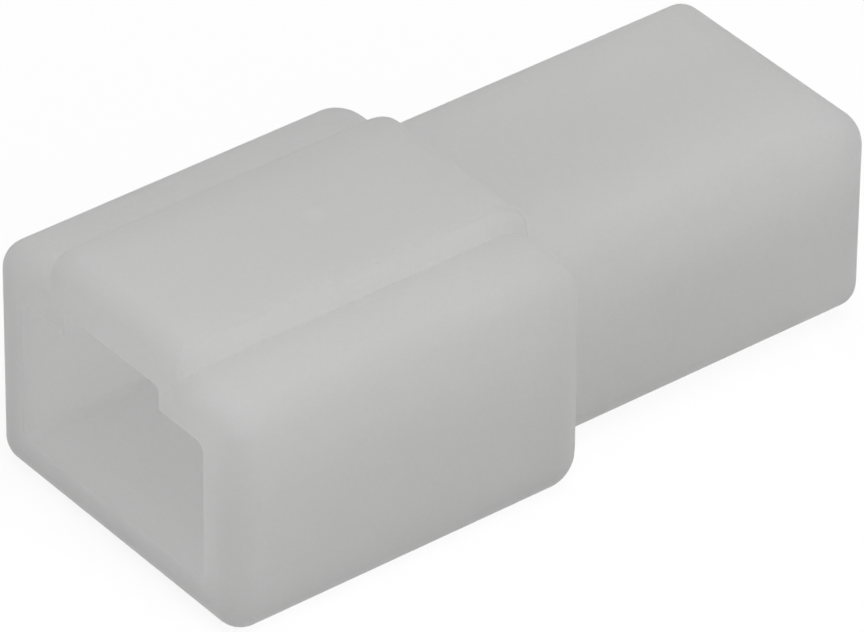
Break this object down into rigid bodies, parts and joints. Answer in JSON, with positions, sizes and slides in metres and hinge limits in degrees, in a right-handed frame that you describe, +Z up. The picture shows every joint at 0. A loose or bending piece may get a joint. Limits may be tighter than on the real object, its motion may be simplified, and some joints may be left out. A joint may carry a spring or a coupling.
{
  "type": "wire to board connector housing",
  "caption": "Moulded nylon connector housing: wide keyed shroud with an open mating mouth, raised centre on top, and a narrower wire end with contact cavities.",
  "frame": {"origin": "under the middle of the length, at the level of the front block's underside", "axes": "+X across the width, +Y from the mating mouth to the wire end, +Z up through the raised centre"},
  "size_m": [0.01, 0.021, 0.0075],
  "materials": {
    "housing": "smooth moulded natural nylon, slightly translucent"
  },
  "bodies": {
    "root": {"housing": "housing"}
  },
  "joints": []
}
